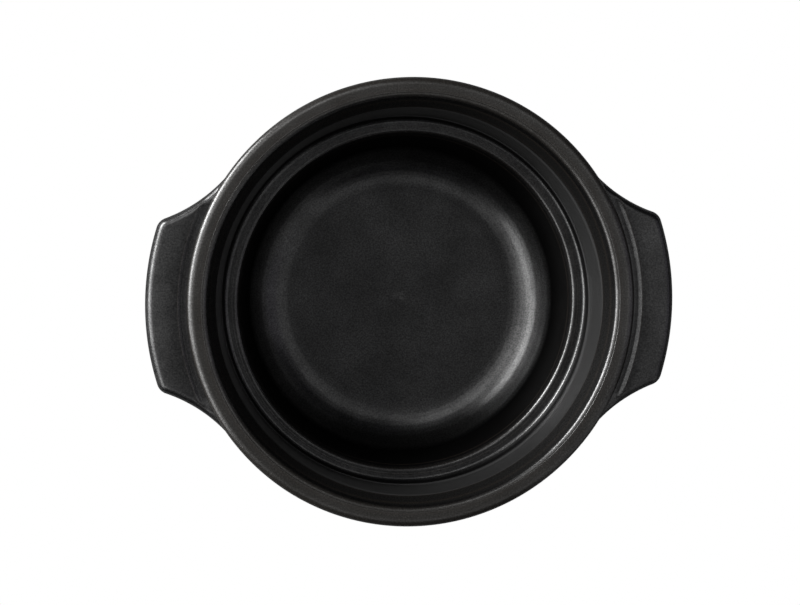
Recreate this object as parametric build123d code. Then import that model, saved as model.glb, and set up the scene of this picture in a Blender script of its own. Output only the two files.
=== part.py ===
from build123d import *
import math
import os

# An open clay cooking pot with two wing handles, in millimetres. Z is up, the origin is the middle of
# the foot's underside, and the handles point along X. Every drop is measured down from the rim's top.

# The rim is a flange that leans out over the collar wall.
rim_height = 108.0  # rim top above the surface that the pot stands on
rim_radius = 127.5  # widest circle of the round pot
rim_width = 10.5  # from the lip to the widest circle
rim_thickness = 11.0
crown_width = 4.3  # outer part of the rim's top, which falls away to the edge
crown_fall = 2.0
crown_round = 11.0
rim_edge_round = 3.0
rim_under_round = 4.0
rim_root_round = 3.5  # hollow where the flange meets the collar
lip_round = 3.5

# The lid sits on a bevel just inside the lip.
seat_width = 6.3
seat_height = 11.5
seat_round = 2.0

# The collar is the steep band between the lid seat and the ledge.
collar_height = 26.5
collar_draft = 3.0  # how far it comes in on its way down
collar_wall = 8.0

# The ledge inside carries an inner lid or a steaming plate.
step_width = 3.0
step_height = 4.0
step_round = 1.0
ledge_width = 6.4
ledge_hollow_round = 4.0
ledge_edge_round = 2.2

# The bowl under the ledge narrows in two stretches to a flat floor. Its depth is what the other heights leave.
bowl_bend_share = 0.72  # how far down that depth the steeper stretch ends
upper_bowl_lean = 8.8
lower_bowl_lean = 13.6
bowl_bend_radius = 8.0  # between the two stretches, inside
bowl_curve_radius = 60.0  # and outside
floor_curve_radius = 24.0
bowl_wall = 12.0  # measured level, at that bend
base_thickness = 9.0
heel_wall = 12.1  # measured level, from the floor's corner to the base's corner
shoulder_height = 6.0  # how far above the ledge the outside starts to narrow
shoulder_curve_radius = 60.0
heel_curve_radius = 30.0

# The foot ring is left unglazed.
foot_height = 7.0
foot_inset = 18.0  # from the base's corner in to the ring's outside
foot_width = 10.0
foot_round = 1.8

# Each handle is a flat wing in line with the rim's edge, and a valley runs between the two.
handle_length = 23.1  # from the rim's widest circle to the handle's outer edge
handle_drop = 4.0
handle_thickness = 9.0
handle_edge_round = 2.7
neck_radius = 85.0  # hollow curve of each side, which runs out into the rim
neck_bite = 0.6  # how far that curve passes inside the rim's widest circle
neck_angle = 37.7  # from the handle's middle to where the curve meets the rim
corner_radius = 8.0
valley_radius = 3.0
valley_depth = 2.5
valley_spacing = 1.7  # from the rim's widest circle to the valley's middle

round_share = 0.49  # most of a straight stretch that the rounding at one of its ends may take

# Worked out from the sizes above.
lip_radius = rim_radius - rim_width
seat_radius = lip_radius - seat_width
collar_foot_radius = seat_radius - collar_draft
ledge_radius = collar_foot_radius - step_width
bowl_top_radius = ledge_radius - ledge_width
bowl_bend_inner_radius = bowl_top_radius - upper_bowl_lean
bowl_bend_outer_radius = bowl_bend_inner_radius + bowl_wall
floor_corner_radius = bowl_bend_inner_radius - lower_bowl_lean
base_corner_radius = floor_corner_radius + heel_wall
foot_radius = base_corner_radius - foot_inset
handle_reach = rim_radius + handle_length

seat_foot_height = rim_height - seat_height
step_top_height = seat_foot_height - collar_height
ledge_height = step_top_height - step_height
floor_height = foot_height + base_thickness
bowl_bend_height = ledge_height - bowl_bend_share * (ledge_height - floor_height)
flange_height = rim_height - rim_thickness
shoulder_start_height = ledge_height + shoulder_height
collar_outer_radius = seat_radius + collar_wall
handle_top_height = rim_height - handle_drop


def rounded_outline(corners):
    """Closed face in the XZ plane through corners given as (radius, height, rounding)."""
    places = [Vector(radius, 0, height) for radius, height, _ in corners]
    rounds = []
    for index, (_, _, wanted) in enumerate(corners):
        here = places[index]
        before = places[index - 1] - here
        after = places[(index + 1) % len(places)] - here
        half_turn = math.radians(180 - before.get_angle(after)) / 2
        room = round_share * min(before.length, after.length)
        rounds.append(min(wanted, room / math.tan(half_turn)) if wanted else 0)
    return make_face(FilletPolyline(*places, radius=rounds, close=True))


def make_outer_corners():
    """The pot's outside, from the rim's top down to the middle of the base."""
    return [
        (rim_radius - crown_width, rim_height, crown_round),
        (rim_radius, rim_height - crown_fall, rim_edge_round),
        (rim_radius, flange_height, rim_under_round),
        (collar_outer_radius, flange_height, rim_root_round),
        (collar_foot_radius + collar_wall, shoulder_start_height, shoulder_curve_radius),
        (bowl_bend_outer_radius, bowl_bend_height, bowl_curve_radius),
        (base_corner_radius, foot_height, heel_curve_radius),
        (0, foot_height, 0),
    ]


def make_inner_corners():
    """The pot's inside, from the middle of the floor up to the lip."""
    return [
        (0, floor_height, 0),
        (floor_corner_radius, floor_height, floor_curve_radius),
        (bowl_bend_inner_radius, bowl_bend_height, bowl_bend_radius),
        (bowl_top_radius, ledge_height, ledge_edge_round),
        (ledge_radius, ledge_height, ledge_hollow_round),
        (collar_foot_radius, step_top_height, step_round),
        (seat_radius, seat_foot_height, seat_round),
        (lip_radius, rim_height, lip_round),
    ]


def make_body():
    return revolve(rounded_outline(make_inner_corners() + make_outer_corners()), Axis.Z)


def make_envelope():
    """The pot's outside, filled in."""
    return revolve(rounded_outline([(0, rim_height, 0)] + make_outer_corners()), Axis.Z)


def make_foot():
    corners = [
        (foot_radius - foot_width, 0, foot_round),
        (foot_radius, 0, foot_round),
        (foot_radius, foot_height, 0),
        (foot_radius - foot_width, foot_height, 0),
    ]
    return revolve(rounded_outline(corners), Axis.Z)


def handle_outline():
    """Plan of the handle along +X, from the pot's middle out to the wing's edge."""
    side_distance = rim_radius + neck_radius - neck_bite
    wedge = make_face(
        Polyline(
            (0, 0),
            Vector(2 * handle_reach, 0).rotate(Axis.Z, -neck_angle),
            Vector(2 * handle_reach, 0).rotate(Axis.Z, neck_angle),
            close=True,
        )
    )
    plan = wedge & Circle(handle_reach)
    for turn in (-neck_angle, neck_angle):
        plan -= Pos(Vector(side_distance, 0).rotate(Axis.Z, turn)) * Circle(neck_radius)
    tips = plan.vertices().sort_by(Axis.X)[-2:]
    return fillet(tips, corner_radius)


def make_handle(envelope):
    """The wing on the +X side, cut to the pot's outside."""
    under_height = handle_top_height - handle_thickness
    wing = extrude(Pos(0, 0, under_height) * handle_outline(), handle_thickness)
    edges = [edge for edge in wing.edges() if is_wing_edge(edge)]
    wing = fillet(edges, min(handle_edge_round, round_share * handle_thickness))
    valley_floor = handle_top_height - valley_depth
    ring = Pos(rim_radius + valley_spacing, 0, valley_floor + valley_radius)
    valley = revolve(ring * (Plane.XZ * Circle(valley_radius)), Axis.Z)
    return wing - valley - envelope


def is_wing_edge(edge):
    """True for the curved edges round the wing's top and underside."""
    return edge.geom_type == GeomType.CIRCLE


os.makedirs("parts", exist_ok=True)
envelope = make_envelope()
right_handle = make_handle(envelope)
pieces = {
    "pot_body": make_body(),
    "foot_ring": make_foot(),
    "right_handle": right_handle,
    "left_handle": mirror(right_handle, about=Plane.YZ),
}
for name, piece in pieces.items():
    export_step(piece, f"parts/{name}.step")
    print(name, "volume", round(piece.volume / 1000), "cubic centimetres")
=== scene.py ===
import math

import bmesh
import bpy
import numpy as np
from mathutils import Matrix, Vector, noise


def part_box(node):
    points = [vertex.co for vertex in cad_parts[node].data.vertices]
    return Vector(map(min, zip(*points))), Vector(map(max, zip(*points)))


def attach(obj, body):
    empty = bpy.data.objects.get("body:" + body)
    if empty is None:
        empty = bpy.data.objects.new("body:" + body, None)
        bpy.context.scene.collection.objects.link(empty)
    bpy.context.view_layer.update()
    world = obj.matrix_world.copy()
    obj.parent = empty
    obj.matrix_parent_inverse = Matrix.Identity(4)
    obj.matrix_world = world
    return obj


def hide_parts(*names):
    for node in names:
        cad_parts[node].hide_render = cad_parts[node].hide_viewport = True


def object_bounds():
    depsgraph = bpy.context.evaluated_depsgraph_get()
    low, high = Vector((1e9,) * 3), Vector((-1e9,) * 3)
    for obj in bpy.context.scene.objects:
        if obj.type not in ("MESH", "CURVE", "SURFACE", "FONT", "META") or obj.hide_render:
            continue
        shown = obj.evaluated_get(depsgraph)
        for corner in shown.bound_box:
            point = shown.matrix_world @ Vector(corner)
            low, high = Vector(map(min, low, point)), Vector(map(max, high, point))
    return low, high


mm = 0.001
tiny = 1e-6  # a length below this counts as none
almostStraight = math.radians(89.9)  # half the angle of a corner that is left as it is

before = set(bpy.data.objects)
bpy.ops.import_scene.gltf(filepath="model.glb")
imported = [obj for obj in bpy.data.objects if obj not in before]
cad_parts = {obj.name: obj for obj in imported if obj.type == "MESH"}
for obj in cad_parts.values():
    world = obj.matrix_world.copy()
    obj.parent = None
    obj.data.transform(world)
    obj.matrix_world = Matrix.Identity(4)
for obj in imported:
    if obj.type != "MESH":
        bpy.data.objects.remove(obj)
cadBox = [list(corner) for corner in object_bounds()]
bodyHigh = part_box("pot_body")[1]
rimHeight = bodyHigh.z / mm
rimRadius = bodyHigh.y / mm
print("frame loaded")


# Rounds an outline's corners, given as (across, down, rounding) in mm, and fills its straight runs in.
def roundOutline(corners, arcStep=7.0, runStep=2.5):
    points = [Vector(corners[0][:2])]
    for before, here, after in zip(corners, corners[1:], corners[2:]):
        corner, rounding = Vector(here[:2]), here[2]
        toBefore = (Vector(before[:2]) - corner).normalized()
        toAfter = (Vector(after[:2]) - corner).normalized()
        halfAngle = toBefore.angle(toAfter) / 2
        if rounding == 0 or halfAngle > almostStraight:
            points.append(corner)
            continue
        reach = rounding / math.tan(halfAngle)
        centre = corner + (toBefore + toAfter).normalized() * rounding / math.sin(halfAngle)
        start = corner + toBefore * reach - centre
        end = corner + toAfter * reach - centre
        steps = max(2, math.ceil(math.degrees(start.angle(end)) / arcStep))
        points.extend(centre + start.slerp(end, step / steps) * rounding for step in range(steps + 1))
    points.append(Vector(corners[-1][:2]))
    filled = [points[0]]
    for point in points[1:]:
        parts = max(1, math.ceil((point - filled[-1]).length / runStep))
        origin = filled[-1].copy()
        filled.extend(origin.lerp(point, part / parts) for part in range(1, parts + 1))
    return [(point.x, point.y) for point in filled]


seedSkew = 0.7  # keeps two seeds from giving the same pattern, shifted


# A slow unevenness, the same in every run, that keeps highlights from looking machined.
def unevenness(place, grain, seed):
    return noise.noise(Vector(place) * grain + Vector((seed, seed * seedSkew, -seed)))


def readColumns(collection, name, width, kind=float):
    values = np.empty(len(collection) * width, dtype=kind)
    collection.foreach_get(name, values)
    return values.reshape(-1, width)


# Glaze runs thin where the clay bends outwards: not at all at the gentle radius, fully at the sharp one.
thinGlaze = {
    "gentle": 5.0,
    "sharp": 1.2,
}


def markThinGlaze(mesh):
    places = readColumns(mesh.vertices, "co", 3)
    normals = readColumns(mesh.vertex_normals, "vector", 3)
    ends = readColumns(mesh.edges, "vertices", 2, np.int64)
    step = places[ends[:, 0]] - places[ends[:, 1]]
    turn = normals[ends[:, 0]] - normals[ends[:, 1]]
    bend = (turn * step).sum(1) / np.maximum((step * step).sum(1), tiny ** 2)
    most = np.zeros(len(places))
    np.maximum.at(most, ends[:, 0], bend)
    np.maximum.at(most, ends[:, 1], bend)
    least, full = 1 / thinGlaze["gentle"], 1 / thinGlaze["sharp"]
    share = np.clip((most * mm - least) / (full - least), 0, 1)
    layer = mesh.attributes.new("thinGlaze", "FLOAT", "POINT")
    layer.data.foreach_set("value", share.astype(np.float32))


# Firing left the pot slightly oval: widest across one diagonal, most of all above the ledge.
warp = {
    "share": 0.006,
    "from": 16.0,
    "full": 66.0,
}


def warpPot(builder):
    for vertex in builder.verts:
        x, y, z = vertex.co
        risen = min(1.0, max(0.0, (z / mm - warp["from"]) / (warp["full"] - warp["from"])))
        amount = warp["share"] * risen
        vertex.co = (x + amount * y, y + amount * x, z)


def finishPiece(name, builder, slotName, material, *nodes):
    warpPot(builder)
    mesh = bpy.data.meshes.new(name)
    bmesh.ops.recalc_face_normals(builder, faces=builder.faces)
    builder.to_mesh(mesh)
    builder.free()
    mesh.polygons.foreach_set("use_smooth", [True] * len(mesh.polygons))
    markThinGlaze(mesh)
    mesh.materials.append(material)
    piece = bpy.data.objects.new(name, mesh)
    bpy.context.scene.collection.objects.link(piece)
    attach(piece, "root")
    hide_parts(*nodes)
    print("built", name, len(mesh.vertices), "points")


# Turns an outline of (radius, drop below the rim) round the pot's axis. A radius of 0 makes one point.
def spinOutline(outline, segments, shape):
    builder = bmesh.new()
    rings = []
    for radius, drop in outline:
        if radius < tiny:
            rings.append([builder.verts.new((0, 0, shape(0, rimHeight - drop, 0)[1] * mm))])
            continue
        ring = []
        for segment in range(segments):
            turn = 2 * math.pi * segment / segments
            across, height = shape(radius, rimHeight - drop, turn)
            place = (across * math.cos(turn) * mm, across * math.sin(turn) * mm, height * mm)
            ring.append(builder.verts.new(place))
        rings.append(ring)
    for inner, outer in zip(rings, rings[1:]):
        for segment in range(segments):
            following = (segment + 1) % segments
            if len(inner) == 1:
                corners = (inner[0], outer[segment], outer[following])
            elif len(outer) == 1:
                corners = (inner[segment], outer[0], inner[following])
            else:
                corners = (inner[segment], outer[segment], outer[following], inner[following])
            builder.faces.new(corners)
    return builder


def newGroup(name, inputs, outputs):
    group = bpy.data.node_groups.new(name, "ShaderNodeTree")
    for label, value in inputs.items():
        socket = group.interface.new_socket(label, in_out="INPUT", socket_type="NodeSocketFloat")
        socket.default_value = value
    for label in outputs:
        group.interface.new_socket(label, in_out="OUTPUT", socket_type="NodeSocketFloat")
    return group, group.nodes.new("NodeGroupInput"), group.nodes.new("NodeGroupOutput")


def addNode(tree, kind, **values):
    node = tree.nodes.new(kind)
    for key, value in values.items():
        setattr(node, key, value)
    return node


# Links a socket's value, or sets it where it is a plain number or colour.
def feed(tree, socket, value):
    if isinstance(value, bpy.types.NodeSocket):
        tree.links.new(value, socket)
    else:
        socket.default_value = value


def addMath(tree, operation, *values, clamp=False):
    node = addNode(tree, "ShaderNodeMath", operation=operation, use_clamp=clamp)
    for socket, value in zip(node.inputs, values):
        feed(tree, socket, value)
    return node.outputs[0]


def addNoise(tree, place, size, detail):
    texture = addNode(tree, "ShaderNodeTexNoise")
    texture.inputs["Detail"].default_value = detail
    tree.links.new(place, texture.inputs["Vector"])
    tree.links.new(addMath(tree, "DIVIDE", 1 / mm, size), texture.inputs["Scale"])
    return texture.outputs["Fac"]


def addPlace(tree):
    return addNode(tree, "ShaderNodeTexCoord").outputs["Object"]


# The distance from the pot's axis and the height.
def addTurnedPlace(tree):
    parts = addNode(tree, "ShaderNodeSeparateXYZ")
    tree.links.new(addPlace(tree), parts.inputs[0])
    squares = [addMath(tree, "MULTIPLY", parts.outputs[axis], parts.outputs[axis]) for axis in "XY"]
    return addMath(tree, "SQRT", addMath(tree, "ADD", *squares)), parts.outputs["Z"]


claySurface = {
    "speckDetail": 2.0,
    "cloudDetail": 3.0,
    "lineDetail": 2.0,
    "speckLevel": 0.56,  # only the peaks of the fine noise above this show as specks
    "speckContrast": 6.0,
}


# Fine specks and slow clouds, as in any fired surface.
def makeClayGrain():
    look = claySurface
    group, enter, leave = newGroup(
        "clayGrain", {"Speck Size": 0.8, "Cloud Size": 18.0}, ("Specks", "Clouds", "Height"),
    )
    place = addPlace(group)
    fine = addNoise(group, place, enter.outputs["Speck Size"], look["speckDetail"])
    clouds = addNoise(group, place, enter.outputs["Cloud Size"], look["cloudDetail"])
    peaks = addMath(group, "SUBTRACT", fine, look["speckLevel"])
    specks = addMath(group, "MULTIPLY", peaks, look["speckContrast"], clamp=True)
    for value, label in ((specks, "Specks"), (clouds, "Clouds"), (fine, "Height")):
        group.links.new(value, leave.inputs[label])
    return group


# A soft-edged band between two distances from the pot's axis and two heights.
def makeRingBand():
    names = ("Inner Radius", "Outer Radius", "Low", "High", "Softness")
    group, enter, leave = newGroup("ringBand", {name: 1.0 for name in names}, ("Mask",))
    radius, height = addTurnedPlace(group)
    inner, outer, low, high, softness = (enter.outputs[name] for name in names)
    mask = 1.0
    for larger, smaller in ((radius, inner), (outer, radius), (height, low), (high, height)):
        past = addMath(group, "DIVIDE", addMath(group, "SUBTRACT", larger, smaller), softness)
        mask = addMath(group, "MULTIPLY", mask, addMath(group, "ADD", past, 0.5, clamp=True))
    group.links.new(mask, leave.inputs["Mask"])
    return group


# Fine turned lines round the pot's axis, in height and across.
def makeTurnedLines():
    group, enter, leave = newGroup("turnedLines", {"Spacing": 1.0}, ("Height",))
    join = addNode(group, "ShaderNodeCombineXYZ")
    for axis, value in zip("XY", addTurnedPlace(group)):
        group.links.new(value, join.inputs[axis])
    lines = addNoise(group, join.outputs[0], enter.outputs["Spacing"], claySurface["lineDetail"])
    group.links.new(lines, leave.inputs["Height"])
    return group


clayGrain = makeClayGrain()
ringBand = makeRingBand()
turnedLines = makeTurnedLines()
print("node groups made")


def placeGroup(tree, group, **values):
    node = addNode(tree, "ShaderNodeGroup", node_tree=group)
    for label, value in values.items():
        node.inputs[label.replace("_", " ")].default_value = value
    return node.outputs


# One band of the pot, between two radii and two heights in mm.
def placeBand(tree, inner, outer, low, high, softness):
    band = placeGroup(
        tree, ringBand, Inner_Radius=inner * mm, Outer_Radius=outer * mm,
        Low=low * mm, High=high * mm, Softness=softness * mm,
    )
    return band["Mask"]


def addMix(tree, dataType, socketType, mask, values):
    node = addNode(tree, "ShaderNodeMix", data_type=dataType)
    tree.links.new(mask, node.inputs["Factor"])
    for label, value in zip("AB", values):
        feed(tree, next(s for s in node.inputs if s.name == label and s.type == socketType), value)
    return next(s for s in node.outputs if s.type == socketType)


def mixColour(tree, mask, *colours):
    solid = [c if isinstance(c, bpy.types.NodeSocket) else (*c, 1.0) for c in colours]
    return addMix(tree, "RGBA", "RGBA", mask, solid)


def mixNumber(tree, mask, *numbers):
    return addMix(tree, "FLOAT", "VALUE", mask, numbers)


def newMaterial(name, **values):
    material = bpy.data.materials.new(name)
    material.use_nodes = True
    tree = material.node_tree
    shader = tree.nodes["Principled BSDF"]
    for label, value in values.items():
        shader.inputs[label.replace("_", " ")].default_value = value
    return material, tree, shader


# Each layer is a height and its depth in mm, laid over the one before.
def addBump(tree, shader, *layers):
    normal = None
    for height, depth in layers:
        bump = addNode(tree, "ShaderNodeBump")
        bump.inputs["Distance"].default_value = depth * mm
        tree.links.new(height, bump.inputs["Height"])
        if normal is not None:
            tree.links.new(normal, bump.inputs["Normal"])
        normal = bump.outputs["Normal"]
    tree.links.new(normal, shader.inputs["Normal"])


blackGlaze = {
    "deep": (0.0004, 0.0004, 0.00045),
    "cloudy": (0.0010, 0.00095, 0.00095),
    "speck": (0.004, 0.0036, 0.0032),
    "speckShare": 0.35,
    "thin": (0.009, 0.007, 0.0055),
    "thinShare": 0.9,
    "seat": (0.0028, 0.0027, 0.0026),
    "collar": (0.058, 0.058, 0.058),  # iron in the glaze gives this band a soft metallic shine
    # painted light in part: the rim's top is lighter than the rest, standing in for light falling on it,
    # over the glaze's own warmer, speckled tone
    "rim": (0.0066, 0.0060, 0.0052),
    "rimSpeckToneAndLight": (0.013, 0.012, 0.010),
    "ior": 1.5,
    "specular": 0.0,  # the coat gives all of the shine, so that its weight can vary over the pot
    "roughness": (0.28, 0.34),
    "wallRoughness": 0.1,
    "collarRoughness": 0.42,
    "seatRoughness": 0.42,
    "coatIor": 1.75,
    "coatRoughness": 0.3,
    "coat": (0.29, 0.78),  # from the hollows of the grain to its peaks
    "seatCoat": (0.14, 0.56),
    "wallCoat": 0.16,
    "collarCoat": 0.4,
    "bareCoat": 0.0,
    "hollow": 0.25,  # the grain's height up to which it is all hollow
    "peakContrast": 2.0,
    "cloudCoat": 0.5,  # share of the coat that is left where there is no cloud
    "speckSize": 0.9,
    "cloudSize": 22.0,
    "lineSpacing": 1.4,
    "grainDepth": 0.028,
    "seatGrainDepth": 0.04,
    "lineDepth": 0.010,
}

# Where the glaze looks different, and where the rim's top is painted lighter, in part as painted light on
# it. Radii, heights and drops below the rim are mm, and a softness is how slowly a band ends.
bands = {
    "seatOuter": 115.2,  # short of the rounded lip
    "seatAbove": 5.0,
    "seatSoftness": 0.6,
    "collarClear": 3.0,  # how far from the ledge
    "collarSoftness": 0.8,
    "rimToneAndLightDepth": 2.5,
    "rimSoftness": 1.5,
    "riserInner": 105.2,
    "riserClear": 1.0,
    "riserSoftness": 0.5,
    "wallOuter": 98.0,
    "wallDrop": 76.0,
    "wallClear": 3.0,
    "wallSoftness": 4.0,
    "bareRadius": 78.0,  # the glaze ends here on the underside
    "bareHeight": 9.0,
    "bareSoftness": 0.4,
    "beyond": 1000.0,  # further out than any part of the pot
}

rawClay = {
    "dark": (0.105, 0.082, 0.066),
    "light": (0.165, 0.135, 0.108),
    "speck": (0.05, 0.04, 0.033),
    "ior": 1.45,
    "roughness": 0.85,
    "speckSize": 0.7,
    "cloudSize": 14.0,
    "lineSpacing": 1.1,
    "grainDepth": 0.10,
    "lineDepth": 0.06,
}


def placeGlazeBands(tree):
    b, s = potBody, bands
    ledge = rimHeight - b["ledgeDrop"]
    seat = rimHeight - b["seatDrop"]
    limits = {
        "seat": (b["collarTop"], s["seatOuter"], seat, rimHeight + s["seatAbove"]),
        "collar": (b["collarFoot"], b["collarTop"], ledge + s["collarClear"], seat),
        # the rim's top, painted lighter, partly as painted light
        "rim": (b["lip"], s["beyond"], rimHeight - s["rimToneAndLightDepth"], s["beyond"]),
        "riser": (s["riserInner"], b["collarFoot"], ledge + s["riserClear"], rimHeight - b["riserTop"]),
        "wall": (-s["beyond"], s["wallOuter"], rimHeight - s["wallDrop"], ledge - s["wallClear"]),
        "bare": (-s["beyond"], s["bareRadius"], -s["beyond"], s["bareHeight"]),
    }
    return {name: placeBand(tree, *limit, s[name + "Softness"]) for name, limit in limits.items()}


def makeBlackGlaze():
    look = blackGlaze
    material, tree, shader = newMaterial(
        "blackGlaze", IOR=look["ior"], Specular_IOR_Level=look["specular"],
        Coat_IOR=look["coatIor"], Coat_Roughness=look["coatRoughness"],
    )
    grain = placeGroup(tree, clayGrain, Speck_Size=look["speckSize"], Cloud_Size=look["cloudSize"])
    masks = placeGlazeBands(tree)

    base = mixColour(tree, grain["Clouds"], look["deep"], look["cloudy"])
    specks = addMath(tree, "MULTIPLY", grain["Specks"], look["speckShare"])
    base = mixColour(tree, specks, base, look["speck"])
    for name in ("seat", "collar"):
        base = mixColour(tree, masks[name], base, look[name])
    # Painted light in part: the rim's top gets a lighter colour standing in for light that falls on it, over
    # the glaze's own warmer specks.
    rimToneAndLightColour = mixColour(tree, grain["Specks"], look["rim"], look["rimSpeckToneAndLight"])
    base = mixColour(tree, masks["rim"], base, rimToneAndLightColour)
    edge = addNode(tree, "ShaderNodeAttribute", attribute_name="thinGlaze").outputs["Fac"]
    thin = addMath(tree, "MULTIPLY", edge, addMath(tree, "MULTIPLY", grain["Height"], look["thinShare"]))
    base = mixColour(tree, thin, base, look["thin"])
    clay = mixColour(tree, grain["Clouds"], rawClay["dark"], rawClay["light"])
    base = mixColour(tree, masks["bare"], base, clay)
    tree.links.new(base, shader.inputs["Base Color"])
    tree.links.new(masks["collar"], shader.inputs["Metallic"])

    rough = mixNumber(tree, grain["Clouds"], *look["roughness"])
    for name, level in (
        ("wall", look["wallRoughness"]), ("collar", look["collarRoughness"]),
        ("seat", look["seatRoughness"]), ("bare", rawClay["roughness"]),
    ):
        rough = mixNumber(tree, masks[name], rough, level)
    tree.links.new(rough, shader.inputs["Roughness"])

    peaks = addMath(tree, "SUBTRACT", grain["Height"], look["hollow"])
    peaks = addMath(tree, "MULTIPLY", peaks, look["peakContrast"], clamp=True)
    coat = mixNumber(tree, peaks, *look["coat"])
    coat = addMath(tree, "MULTIPLY", coat, addMath(tree, "ADD", grain["Clouds"], look["cloudCoat"]))
    for name, level in (
        ("wall", look["wallCoat"]), ("riser", look["wallCoat"]), ("collar", look["collarCoat"]),
        ("seat", mixNumber(tree, peaks, *look["seatCoat"])), ("bare", look["bareCoat"]),
    ):
        coat = mixNumber(tree, masks[name], coat, level)
    tree.links.new(coat, shader.inputs["Coat Weight"])

    lines = placeGroup(tree, turnedLines, Spacing=look["lineSpacing"])
    offWall = addMath(tree, "SUBTRACT", 1.0, masks["wall"])
    addBump(
        tree, shader,
        (addMath(tree, "MULTIPLY", grain["Height"], offWall), look["grainDepth"]),
        (addMath(tree, "MULTIPLY", lines["Height"], offWall), look["lineDepth"]),
        (addMath(tree, "MULTIPLY", grain["Specks"], masks["seat"]), look["seatGrainDepth"]),
    )
    return material


def makeRawClay():
    look = rawClay
    material, tree, shader = newMaterial("rawClay", IOR=look["ior"], Roughness=look["roughness"])
    grain = placeGroup(tree, clayGrain, Speck_Size=look["speckSize"], Cloud_Size=look["cloudSize"])
    base = mixColour(tree, grain["Clouds"], look["dark"], look["light"])
    base = mixColour(tree, grain["Specks"], base, look["speck"])
    tree.links.new(base, shader.inputs["Base Color"])
    lines = placeGroup(tree, turnedLines, Spacing=look["lineSpacing"])
    addBump(tree, shader, (grain["Height"], look["grainDepth"]), (lines["Height"], look["lineDepth"]))
    return material


# The pot's body is one turned outline, from the middle of the floor over the rim to the middle of the
# underside. Sizes are mm, and every drop is measured down from the rim's top. Fine lines and grooves are
# (radius, drop, rounding), and so is the ledge's ripple, whose drops are measured from the ledge.
potBody = {
    "segments": 360,
    "runStep": 1.6,
    "floorDrop": 92.0,
    "floorRadii": (0, 0.6, 1.2, 1.8, 2.4, 3.0, 3.7, 4.4, 5.2, 6.0),  # close together for the nub and the pit
    "floorCorner": 75.9,
    "floorCornerRound": 30.0,
    "bend": 89.5,  # the wall leans in towards the floor from here
    "bendDrop": 78.0,
    "bendRound": 8.0,
    "wallLine": ((96.2, 48.4, 0.2), (96.5, 48.0, 0.2)),
    "ledgeEdge": 97.7,
    "ledgeEdgeRound": 2.4,
    "ledgeDrop": 42.0,
    "ledgeRipple": (
        (100.2, 0.0, 0), (100.6, 0.06, 0.3), (101.1, -0.02, 0.3), (101.6, 0.05, 0.3), (102.1, 0.0, 0),
    ),
    "ledgeHollow": 104.2,
    "ledgeHollowRound": 2.5,
    "collarFoot": 106.9,
    "riserTop": 38.2,
    "riserRound": 0.5,
    "collarTop": 110.7,
    "collarTopRound": 1.5,
    "seatDrop": 11.5,
    "seatLine": ((114.3, 4.9, 0.3), (114.6, 4.4, 0.3)),
    "lip": 117.0,
    "lipRound": 3.3,
    "lipGroove": ((118.9, 0.0, 0.4), (119.3, 0.06, 0.3), (119.7, 0.0, 0.4)),
    "crownWidth": 2.9,  # the outer part of the rim's top, which falls away to the edge
    "crownDrop": 1.95,
    "crownRound": 5.5,
    "rimEdgeRound": 3.35,
    "rimThickness": 11.0,
    "rimUnderRound": 4.0,
    "collarOuter": 118.7,
    "rimRootRound": 3.5,
    "shoulder": 115.7,
    "shoulderDrop": 36.0,
    "outerBend": 101.5,
    "outerRound": 60.0,
    "baseDrop": 101.0,
    "baseCorner": 88.0,
    "baseCornerRound": 30.0,
    "baseRadii": (60.0, 30.0, 0),
    "flatFloor": 60.0,
    "floorReach": 1.0,  # up and down from the floor
    "floorRings": 0.006,
    "floorRingTurn": 1.1,  # radians for each mm outwards
    "floorRingStart": 12.0,
    "nubRadius": 5.2,
    "nubHeight": 0.42,
    "pitPlace": (1.6, 0.6),
    "pitRadius": 1.3,
    "pitDepth": 0.26,
    "sway": 0.02,
    "swayGrain": 0.03,
    "swaySeed": 4.0,
    "stillWidth": 3.0,  # the sway fades out over this much of the rim's edge
}


def bodyOutline():
    b = potBody
    bowl = [
        *((radius, b["floorDrop"], 0) for radius in b["floorRadii"]),
        (b["floorCorner"], b["floorDrop"], b["floorCornerRound"]),
        (b["bend"], b["bendDrop"], b["bendRound"]),
        *b["wallLine"],
        (b["ledgeEdge"], b["ledgeDrop"], b["ledgeEdgeRound"]),
    ]
    ledge = [
        *((radius, b["ledgeDrop"] + drop, rounding) for radius, drop, rounding in b["ledgeRipple"]),
        (b["ledgeHollow"], b["ledgeDrop"], b["ledgeHollowRound"]),
        (b["collarFoot"], b["riserTop"], b["riserRound"]),
    ]
    seat = [
        (b["collarTop"], b["seatDrop"], b["collarTopRound"]),
        *b["seatLine"],
        (b["lip"], 0, b["lipRound"]),
    ]
    rim = [
        *b["lipGroove"],
        (rimRadius - b["crownWidth"], 0, b["crownRound"]),
        (rimRadius, b["crownDrop"], b["rimEdgeRound"]),
        (rimRadius, b["rimThickness"], b["rimUnderRound"]),
        (b["collarOuter"], b["rimThickness"], b["rimRootRound"]),
    ]
    outside = [
        (b["shoulder"], b["shoulderDrop"], b["outerRound"]),
        (b["outerBend"], b["bendDrop"], b["outerRound"]),
        (b["baseCorner"], b["baseDrop"], b["baseCornerRound"]),
        *((radius, b["baseDrop"], 0) for radius in b["baseRadii"]),
    ]
    return roundOutline(bowl + ledge + seat + rim + outside, runStep=b["runStep"])


# A smooth swelling, full in its middle and gone from its edge outwards.
def swelling(share):
    return 0.5 + 0.5 * math.cos(math.pi * min(1.0, share))


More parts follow.
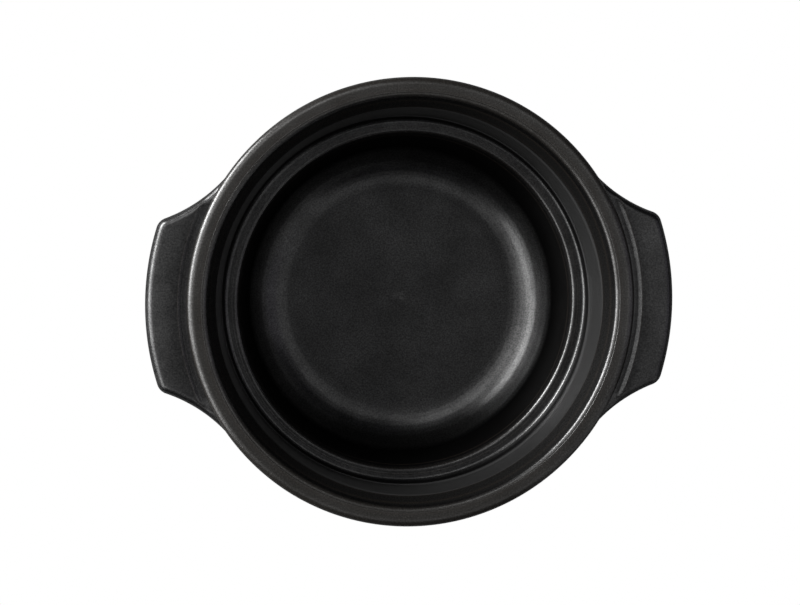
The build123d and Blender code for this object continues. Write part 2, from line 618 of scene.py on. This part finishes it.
def shapeBody(radius, height, turn):
    b = potBody
    place = (radius * math.cos(turn), radius * math.sin(turn), height)
    sway = b["sway"] * unevenness(place, b["swayGrain"], b["swaySeed"])
    if radius < b["flatFloor"] and abs(height - (rimHeight - b["floorDrop"])) < b["floorReach"]:
        ringShare = min(1.0, radius / b["floorRingStart"])
        height += b["floorRings"] * math.sin(radius * b["floorRingTurn"]) * ringShare
        height += b["nubHeight"] * swelling(radius / b["nubRadius"])
        fromPit = math.hypot(place[0] - b["pitPlace"][0], place[1] - b["pitPlace"][1])
        height -= b["pitDepth"] * swelling(fromPit / b["pitRadius"])
        return radius, height + sway
    edge = max(0.0, 1 - (rimRadius - radius) / b["stillWidth"])
    return radius + sway * (1 - edge), height


def buildBody(material):
    builder = spinOutline(bodyOutline(), potBody["segments"], shapeBody)
    finishPiece("potBody", builder, "black_glaze", material, "pot_body")


# The foot ring, left raw. Sizes are mm.
footRing = {
    "segments": 256,
    "arcStep": 12,
    "runStep": 1.5,
    "inner": 60.0,
    "outer": 70.0,
    "round": 1.8,
    "slip": 1.3,  # smeared into the corner with the base
    "overlap": 0.3,  # how far it goes up into the base
    "topInset": 2.0,
    "sway": 0.06,
    "swayGrain": 0.06,
    "swaySeed": 9.0,
}


def shapeFoot(radius, height, turn):
    f = footRing
    place = (radius * math.cos(turn), radius * math.sin(turn), height)
    return radius + f["sway"] * unevenness(place, f["swayGrain"], f["swaySeed"]), height


def buildFoot(material):
    f = footRing
    top = potBody["baseDrop"] - f["overlap"]
    joint = potBody["baseDrop"] + f["slip"]
    outline = roundOutline([
        (f["inner"] + f["topInset"], top, 0),
        (f["inner"] - f["slip"], top, 0),
        (f["inner"], joint, f["slip"]),
        (f["inner"], rimHeight, f["round"]),
        (f["outer"], rimHeight, f["round"]),
        (f["outer"], joint, f["slip"]),
        (f["outer"] + f["slip"], top, 0),
        (f["outer"] - f["topInset"], top, 0),
    ], arcStep=f["arcStep"], runStep=f["runStep"])
    builder = spinOutline(outline + outline[:1], f["segments"], shapeFoot)
    bmesh.ops.remove_doubles(builder, verts=builder.verts, dist=tiny)
    finishPiece("footRing", builder, "raw_clay", material, "foot_ring")


# The handles are flat wings in line with the rim's edge. Sizes are mm, angles degrees.
handle = {
    "reach": cadBox[1][0] / mm,
    "neckRadius": 85.0,
    "neckAngle": 37.7,
    "neckBite": 0.6,
    "corner": 8.0,
    "start": 126.8,  # the top begins here, inside the rim's clay
    "startDrop": 5.0,
    "root": 117.4,  # and the underside ends here, inside the collar
    "valleyStart": 128.6,
    "valleyEnd": 130.1,
    "valleyDrop": 5.1,
    "valleyRounds": (1.2, 1.0),
    "valleyFade": (131.0, 137.5),  # where the plan gets this narrow, the valley runs out
    "crest": 132.3,
    "crestDrop": 4.0,
    "crestRound": 1.0,
    "crestWidth": 1.0,
    "crownStart": 134.0,  # from here the top falls away to its edge
    "edgeDrop": 5.8,
    "crownBend": 1.6,
    "underDrop": 13.0,
    "neckUnderDrop": 10.8,
    "topRound": 4.2,
    "neckTopRound": 3.0,
    "underRound": 4.0,
    "neckUnderRound": 3.0,
    "neckFade": 12.0,  # the angle over which the neck's sizes go over into the wing's
    "rootRound": 3.0,
    "rootClear": 1.3,
    "topClear": 1.0,
    "sideShares": (0.33, 0.66),
    "sway": 0.07,
    "swayGrain": 0.05,
    "swaySeed": 2.0,
    "swaySpan": 130.0,
    "swayFade": 4.0,
    "arcStep": 10,
    "runStep": 0.4,
}

# How many points each stretch of a handle has.
handlePoints = {
    "edge": 26,
    "corner": 16,
    "side": 34,
    "crown": 8,
    "top": 12,
    "topRound": 12,
    "underRound": 11,
    "under": 14,
    "root": 8,
}
searchSteps = 40
searchDepth = 12.0  # mm inside the handle's start


def heading(angle):
    return Vector((math.cos(angle), math.sin(angle)))


# The plan of one half, from the middle of the outer edge to the neck, as (angle, radius) pairs.
def handlePlan():
    h, count = handle, handlePoints
    sideCentre = Vector((rimRadius + h["neckRadius"] - h["neckBite"], 0))
    sideCentre.rotate(Matrix.Rotation(math.radians(h["neckAngle"]), 2))
    cornerReach = h["reach"] - h["corner"]
    sideReach = h["neckRadius"] + h["corner"]
    far = sideCentre.length
    spread = math.acos((cornerReach ** 2 + far ** 2 - sideReach ** 2) / (2 * cornerReach * far))
    cornerTurn = math.radians(h["neckAngle"]) - spread
    cornerCentre = heading(cornerTurn) * cornerReach
    toSide = (sideCentre - cornerCentre).normalized()
    sideTurn = math.atan2(toSide.y, toSide.x)
    points = [heading(turn) * h["reach"] for turn in np.linspace(0, cornerTurn, count["edge"])]
    for turn in np.linspace(cornerTurn, sideTurn, count["corner"])[1:]:
        points.append(cornerCentre + heading(turn) * h["corner"])
    start = points[-1] - sideCentre
    end = -sideCentre.normalized() * h["neckRadius"]
    for share in np.linspace(0, 1, count["side"])[1:]:
        points.append(sideCentre + start.slerp(end, share) * h["neckRadius"])
    plan = {
        "sideCentre": sideCentre, "cornerCentre": cornerCentre,
        "cornerTurn": cornerTurn, "sideTurn": sideTurn,
    }
    return [(math.atan2(point.y, point.x), point.length) for point in points], plan


# How far a place lies inside the handle's plan edge.
def insideEdge(radius, angle, plan):
    h = handle
    point = Vector((radius * math.cos(angle), radius * math.sin(angle)))
    fromCorner = point - plan["cornerCentre"]
    if plan["cornerTurn"] < math.atan2(fromCorner.y, fromCorner.x) < plan["sideTurn"]:
        return h["corner"] - fromCorner.length
    return min(h["reach"] - radius, (point - plan["sideCentre"]).length - h["neckRadius"])


# The radius at which a place on this angle lies as deep inside that edge as is asked.
def radiusInside(depth, angle, edgeRadius, plan):
    low, high = handle["start"] - searchDepth, edgeRadius
    for _ in range(searchSteps):
        middle = (low + high) / 2
        if insideEdge(middle, angle, plan) > depth:
            low = middle
        else:
            high = middle
    return (low + high) / 2


def interpolate(pairs, value):
    return float(np.interp(value, [p[0] for p in pairs], [p[1] for p in pairs]))


# How far a rounded edge falls at this depth inside it.
def roundOff(depth, rounding):
    gap = max(0.0, rounding - max(depth, 0.0))
    return rounding - math.sqrt(max(0.0, rounding ** 2 - gap ** 2))


def easeShare(value, low, high):
    share = min(1.0, max(0.0, (value - low) / (high - low)))
    return share * share * (3 - 2 * share)


# Even places from just past the start to the end.
def stretch(start, end, count):
    return [start + (end - start) * share for share in np.linspace(0, 1, count + 1)[1:]]


# The handle's top along its middle line, as (radius, drop) pairs from the rim outwards.
def handleTop():
    h = handle
    rounds = h["valleyRounds"]
    curve = roundOutline([
        (h["start"], h["startDrop"], 0),
        (h["valleyStart"], h["valleyDrop"], rounds[0]),
        (h["valleyEnd"], h["valleyDrop"], rounds[1]),
        (h["crest"], h["crestDrop"], h["crestRound"]),
        (h["crownStart"], h["crestDrop"], 0),
    ], arcStep=h["arcStep"], runStep=h["runStep"])
    for share in stretch(0, 1, handlePoints["crown"]):
        radius = h["crownStart"] + (h["reach"] - h["crownStart"]) * share
        curve.append((radius, h["crestDrop"] + (h["edgeDrop"] - h["crestDrop"]) * share ** h["crownBend"]))
    return curve


# One column of the handle's skin at an angle: from the rim, over the wing's edge, and back underneath.
def handleColumn(angle, edgeRadius, topCurve, plan):
    h, count = handle, handlePoints
    valley = easeShare(edgeRadius, *h["valleyFade"])
    fade = easeShare(math.radians(h["neckAngle"]) - angle, 0, math.radians(h["neckFade"]))
    topRound = h["neckTopRound"] + (h["topRound"] - h["neckTopRound"]) * fade
    underRound = h["neckUnderRound"] + (h["underRound"] - h["neckUnderRound"]) * fade
    under = h["neckUnderDrop"] + (h["underDrop"] - h["neckUnderDrop"]) * fade

    def topDrop(radius):
        drop = interpolate(topCurve, radius)
        if radius < h["crest"] + h["crestWidth"]:
            drop = h["crestDrop"] + (drop - h["crestDrop"]) * valley
        return drop

    topEnd = radiusInside(topRound, angle, edgeRadius, plan)
    inner = [radius for radius, _ in topCurve if radius <= h["crownStart"]]
    squeeze = (topEnd - h["topClear"] - h["start"]) / (inner[-1] - h["start"])
    squeeze = min(1.0, max(0.0, squeeze))
    top = [h["start"] + (radius - h["start"]) * squeeze for radius in inner]
    top += stretch(top[-1], max(topEnd, top[-1]), count["top"])
    column = [(radius, topDrop(radius)) for radius in top]
    for share in stretch(0, 1, count["topRound"]):
        depth = topRound * (1 - math.sin(math.pi / 2 * share))
        radius = max(h["start"], radiusInside(depth, angle, edgeRadius, plan))
        column.append((radius, topDrop(radius) + roundOff(depth, topRound)))
    sideTop = column[-1][1]
    sideLow = under - underRound
    column += [(edgeRadius, sideTop + (sideLow - sideTop) * share) for share in h["sideShares"]]
    for share in np.linspace(0, 1, count["underRound"]):
        depth = underRound * (1 - math.cos(math.pi / 2 * share))
        radius = radiusInside(depth, angle, edgeRadius, plan)
        column.append((radius, under - roundOff(depth, underRound)))
    rootEdge = h["root"] + h["rootRound"] + h["rootClear"]
    across = column[-1][0]
    column += [(radius, under) for radius in stretch(across, min(rootEdge, across), count["under"])]
    for radius in stretch(column[-1][0], h["root"], count["root"]):
        gap = min(1.0, max(0.0, (rootEdge - radius) / h["rootRound"]))
        column.append((radius, under + h["rootRound"] * fade * (1 - math.sqrt(1 - gap * gap))))
    return column


def buildHandle(name, side, material, node):
    h = handle
    topCurve = handleTop()
    planHalf, plan = handlePlan()
    columns = [(angle, handleColumn(angle, radius, topCurve, plan)) for angle, radius in planHalf]
    mirrored = [(-angle, column) for angle, column in reversed(columns[1:])]
    builder = bmesh.new()
    grid = []
    for angle, column in mirrored + columns:
        line = []
        for radius, drop in column:
            place = (radius * side, angle * h["swaySpan"], drop)
            sway = h["sway"] * unevenness(place, h["swayGrain"], h["swaySeed"])
            sway *= min(1.0, max(0.0, radius - rimRadius) / h["swayFade"])
            x, y = radius * math.cos(angle) * side, radius * math.sin(angle)
            line.append(builder.verts.new((x * mm, y * mm, (rimHeight - drop + sway) * mm)))
        grid.append(line)
    rows = len(grid[0])
    for left, right in zip(grid, grid[1:]):
        for row in range(rows):
            following = (row + 1) % rows
            builder.faces.new((left[row], left[following], right[following], right[row]))
    builder.faces.new(grid[0])
    builder.faces.new(grid[-1])
    bmesh.ops.remove_doubles(builder, verts=builder.verts, dist=2 * tiny)
    finishPiece(name, builder, "black_glaze", material, node)


glaze = makeBlackGlaze()
clay = makeRawClay()
print("materials made")
buildBody(glaze)
buildHandle("rightHandle", 1, glaze, "right_handle")
buildHandle("leftHandle", -1, glaze, "left_handle")
buildFoot(clay)
print("pot built")


# The camera looks almost straight down.
view = {
    "distance": 1.5,  # from the rim's middle, in metres
    "tilt": 5.5,  # degrees off straight down
    "leanTowards": (-0.95, 0.31),
    "roll": 0.45,
    "pixelsPerMetre": 1768.7,  # at the rim
    "potCentrePixel": (412.4, 302.4),
    "pictureSize": (800, 605),
    "sensor": 36.0,
    "clipStart": 0.05,
}


def addCamera():
    v = view
    tilt, roll = math.radians(v["tilt"]), math.radians(v["roll"])
    lean = Vector(v["leanTowards"]).normalized()
    away = Vector((lean.x * math.sin(tilt), lean.y * math.sin(tilt), math.cos(tilt)))
    rimMiddle = Vector((0, 0, rimHeight * mm))
    data = bpy.data.cameras.new("photoCamera")
    data.sensor_width = v["sensor"]
    data.lens = v["pixelsPerMetre"] * v["distance"] / v["pictureSize"][0] * v["sensor"]
    data.clip_start = v["clipStart"]
    camera = bpy.data.objects.new("photoCamera", data)
    bpy.context.scene.collection.objects.link(camera)
    back = away.normalized()
    right = Vector((math.sin(roll), math.cos(roll), 0)).cross(back).normalized()
    up = back.cross(right)
    offset = (
        (v["potCentrePixel"][0] - v["pictureSize"][0] / 2) / v["pixelsPerMetre"],
        (v["pictureSize"][1] / 2 - v["potCentrePixel"][1]) / v["pixelsPerMetre"],
    )
    aim = rimMiddle - right * offset[0] - up * offset[1]
    place = rimMiddle + away * v["distance"]
    back = (place - aim).normalized()
    right = up.cross(back).normalized()
    up = back.cross(right)
    turn = Matrix((right, up, back)).transposed().to_4x4()
    camera.matrix_world = Matrix.Translation(place) @ turn
    bpy.context.scene.camera = camera


addCamera()
print("camera placed")


studio = {
    "floorSize": 6.0,  # metres
    "floorColour": (0.20, 0.20, 0.20),
    "floorRoughness": 0.8,
    "worldFill": (0.042, 0.042, 0.048),
    "white": (1.0, 1.0, 1.0),
    "lampDistance": 1.7,  # metres from the rim's middle
}


# The camera sees the white shader, and everything else the plain one.
def whiteForCamera(tree, plain, white, output):
    path = addNode(tree, "ShaderNodeLightPath")
    mix = addNode(tree, "ShaderNodeMixShader")
    tree.links.new(path.outputs["Is Camera Ray"], mix.inputs["Fac"])
    for socket, shader in zip(mix.inputs[1:], (plain, white)):
        tree.links.new(shader.outputs[0], socket)
    tree.links.new(mix.outputs[0], output.inputs["Surface"])


def addFloor():
    half = studio["floorSize"] / 2
    corners = [(-half, -half, 0), (half, -half, 0), (half, half, 0), (-half, half, 0)]
    mesh = bpy.data.meshes.new("floor")
    mesh.from_pydata(corners, [], [(0, 1, 2, 3)])
    floor = bpy.data.objects.new("floor", mesh)
    bpy.context.scene.collection.objects.link(floor)
    material, tree, shader = newMaterial("paleFloor", Roughness=studio["floorRoughness"])
    shader.inputs["Base Color"].default_value = (*studio["floorColour"], 1.0)
    glow = addNode(tree, "ShaderNodeEmission")
    glow.inputs["Color"].default_value = (*studio["white"], 1.0)
    glow.inputs["Strength"].default_value = 1.0
    whiteForCamera(tree, shader, glow, tree.nodes["Material Output"])
    mesh.materials.append(material)


def addWorld():
    world = bpy.data.worlds.new("studio")
    bpy.context.scene.world = world
    world.use_nodes = True
    tree = world.node_tree
    fill = tree.nodes["Background"]
    fill.inputs["Color"].default_value = (*studio["worldFill"], 1.0)
    white = addNode(tree, "ShaderNodeBackground")
    white.inputs["Color"].default_value = (*studio["white"], 1.0)
    whiteForCamera(tree, fill, white, tree.nodes["World Output"])


# Area lamps that face the pot. Angles are degrees, round from the right handle and up from the floor, and
# sizes are metres.
lamps = {
    "keySoftbox": {"around": 148, "up": 16, "size": (0.80, 0.36), "brightness": 52.0},
    "keyFade": {"around": 156, "up": 27, "size": (1.33, 0.42), "brightness": 18.0},
    "keySide": {"around": 178, "up": 16, "size": (0.78, 0.36), "brightness": 14.0},
    "sideSoftbox": {"around": 202, "up": 24, "size": (0.80, 0.55), "brightness": 3.2},
    "sideFade": {"around": 197, "up": 38, "size": (1.08, 0.48), "brightness": 6.6},
    "highSoftbox": {"around": 135, "up": 56, "size": (1.64, 0.54), "brightness": 3.3},
    "highSide": {"around": 210, "up": 56, "size": (1.07, 0.54), "brightness": 1.0},
    "roofCard": {"around": 150, "up": 74, "size": (1.60, 0.54), "brightness": 0.45},
    "topCard": {"around": 0, "up": 84, "size": (0.42, 0.42), "brightness": 0.35},
    "rightCard": {
        "around": 0, "up": 30, "size": (0.90, 1.10), "brightness": 0.65, "colour": (0.93, 0.9, 1.0),
    },
    "farCard": {"around": 25, "up": 62, "size": (1.50, 0.72), "brightness": 0.95},
    "nearCard": {"around": 325, "up": 26, "size": (0.72, 1.40), "brightness": 0.7},
    "frontCard": {"around": 285, "up": 60, "size": (1.40, 0.72), "brightness": 0.65},
}


def addLamp(name, around, up, size, brightness, colour=studio["white"]):
    data = bpy.data.lights.new(name, "AREA")
    data.shape = "RECTANGLE"
    data.size, data.size_y = size
    data.energy = brightness * math.pi * size[0] * size[1]
    data.color = colour
    lamp = bpy.data.objects.new(name, data)
    around, up = math.radians(around), math.radians(up)
    facing = Vector((math.cos(around) * math.cos(up), math.sin(around) * math.cos(up), math.sin(up)))
    lamp.location = Vector((0, 0, rimHeight * mm)) + facing * studio["lampDistance"]
    lamp.rotation_euler = (-facing).to_track_quat("-Z", "Y").to_euler()
    bpy.context.scene.collection.objects.link(lamp)


addFloor()
addWorld()
for name, lamp in lamps.items():
    addLamp(name, **lamp)
bpy.context.scene.view_settings.view_transform = "Standard"
print("studio set")
